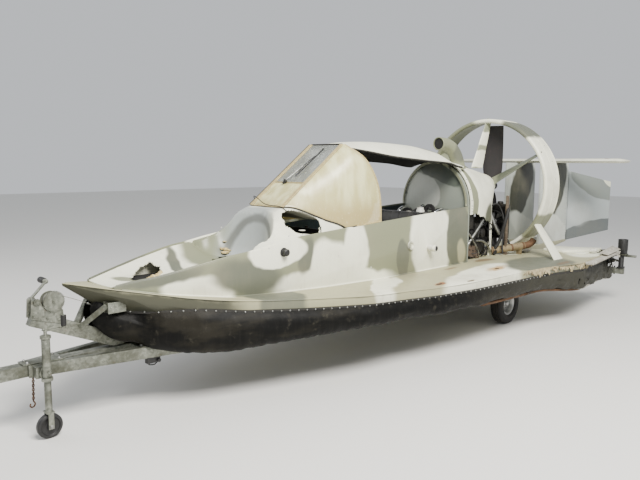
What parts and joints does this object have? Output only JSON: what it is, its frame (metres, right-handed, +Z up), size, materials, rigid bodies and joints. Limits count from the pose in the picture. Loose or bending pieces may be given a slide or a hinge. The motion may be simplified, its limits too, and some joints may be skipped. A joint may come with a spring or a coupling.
{
  "type": "hovercraft on boat trailer",
  "caption": "Light hovercraft with pointed hull, open-sided cabin, ducted rear propeller, lift fan and two rudders, parked on its boat trailer.",
  "frame": {"origin": "on the ground under the middle of the whole object, between the trailer's coupler and the rudders' rear edges", "axes": "+X to the bow and the trailer's coupler, +Y to port, +Z up from the ground"},
  "size_m": [8.1016, 2.677, 2.155],
  "materials": {
    "gelcoat_white": "weathered off-white gelcoat with soft camouflage",
    "gelcoat_grey_green": "weathered grey-green camouflage paint on glass fibre",
    "glazing_yellowed": "plastic glazing gone yellow with age",
    "skirt_vinyl": "black vinyl coated cloth, dusty at the rear",
    "seat_vinyl": "black seat vinyl, matt",
    "black_enamel": "black enamel, dull",
    "prop_black": "black composite",
    "rust_steel": "rusted steel",
    "galvanised": "dull galvanised steel",
    "timber_carpet": "timber covered in worn carpet",
    "tyre": "tread rubber, dusty",
    "rubber": "solid black rubber"
  },
  "bodies": {
    "craft_and_trailer": {"hull": "gelcoat_white", "foredeck": "gelcoat_white", "cowl": "gelcoat_white", "thrust_ring": "gelcoat_white", "ring_leg_port": "gelcoat_white", "ring_leg_starboard": "gelcoat_white", "stabilizer": "gelcoat_white", "stern_board_port": "gelcoat_white", "stern_board_starboard": "gelcoat_white", "tail_beam": "gelcoat_grey_green", "side_panel_port": "gelcoat_grey_green", "side_panel_starboard": "gelcoat_grey_green", "bulkhead": "gelcoat_grey_green", "intake_pipe": "gelcoat_grey_green", "roof": "gelcoat_grey_green", "fin_port": "gelcoat_grey_green", "fin_starboard": "gelcoat_grey_green", "windshield": "glazing_yellowed", "side_window_port": "glazing_yellowed", "side_window_starboard": "glazing_yellowed", "skirt": "skirt_vinyl", "seat_cushion": "seat_vinyl", "seat_back": "seat_vinyl", "fan_duct": "black_enamel", "dash": "black_enamel", "seat_box": "black_enamel", "seat_support": "black_enamel", "engine": "black_enamel", "drive_case": "black_enamel", "radiator": "black_enamel", "guide_post_port": "black_enamel", "guide_post_starboard": "black_enamel", "exhaust": "rust_steel", "spring_port": "rust_steel", "spring_starboard": "rust_steel", "trailer_frame": "galvanised", "trailer_tongue": "galvanised", "coupler": "galvanised", "axle": "galvanised", "winch_arm": "galvanised", "winch": "galvanised", "jack_bracket": "galvanised", "bunk_port": "timber_carpet", "bunk_starboard": "timber_carpet"},
    "propeller": {"propeller": "prop_black"},
    "lift_fan": {"lift_fan": "prop_black"},
    "rudder_port": {"rudder_port": "gelcoat_grey_green"},
    "rudder_starboard": {"rudder_starboard": "gelcoat_grey_green"},
    "steering": {"steering_yoke": "black_enamel"},
    "wheel_port": {"tyre_port": "tyre", "rim_port": "galvanised"},
    "wheel_starboard": {"tyre_starboard": "tyre", "rim_starboard": "galvanised"},
    "winch_crank": {"winch_crank": "galvanised"},
    "jack_tube": {"jack_tube": "galvanised"},
    "jack_leg": {"jack_leg": "galvanised"},
    "jack_wheel": {"jack_wheel": "rubber"}
  },
  "joints": [
    {"name": "propeller_spin", "type": "hinge", "parent": "craft_and_trailer", "child": "propeller", "pos_m": [-1.8842, 0, 1.386], "axis": [1, 0, 0], "continuous": true},
    {"name": "lift_fan_spin", "type": "hinge", "parent": "craft_and_trailer", "child": "lift_fan", "pos_m": [1.8608, 0, 0.816], "axis": [0, 0, 1], "continuous": true},
    {"name": "rudder_port_turn", "type": "hinge", "parent": "craft_and_trailer", "child": "rudder_port", "pos_m": [-3.4352, 0.234, 1.1], "axis": [0, 0, 1], "range_deg": [-5, 65]},
    {"name": "rudder_starboard_turn", "type": "hinge", "parent": "craft_and_trailer", "child": "rudder_starboard", "pos_m": [-3.4352, -0.234, 1.1], "axis": [0, 0, 1], "range_deg": [-61, 9]},
    {"name": "steering_turn", "type": "hinge", "parent": "craft_and_trailer", "child": "steering", "pos_m": [1.2598, 0, 0.985], "axis": [-1, 0, 0], "range_deg": [-60, 60]},
    {"name": "wheel_port_spin", "type": "hinge", "parent": "craft_and_trailer", "child": "wheel_port", "pos_m": [-1.0292, 0.69, 0.207], "axis": [0, 1, 0], "continuous": true},
    {"name": "wheel_starboard_spin", "type": "hinge", "parent": "craft_and_trailer", "child": "wheel_starboard", "pos_m": [-1.0292, -0.69, 0.207], "axis": [0, 1, 0], "continuous": true},
    {"name": "winch_crank_turn", "type": "hinge", "parent": "craft_and_trailer", "child": "winch_crank", "pos_m": [3.4228, -0.06, 0.8], "axis": [0, 1, 0], "continuous": true},
    {"name": "jack_swivel", "type": "hinge", "parent": "craft_and_trailer", "child": "jack_tube", "pos_m": [3.4308, 0.17, 0.392], "axis": [0, -1, 0], "range_deg": [0, 90]},
    {"name": "jack_leg_slide", "type": "slide", "parent": "jack_tube", "child": "jack_leg", "axis": [0, 0, 1], "range_m": [0, 0.18]},
    {"name": "jack_wheel_spin", "type": "hinge", "parent": "jack_leg", "child": "jack_wheel", "pos_m": [3.4308, 0.17, 0.075], "axis": [0, 1, 0], "continuous": true}
  ]
}
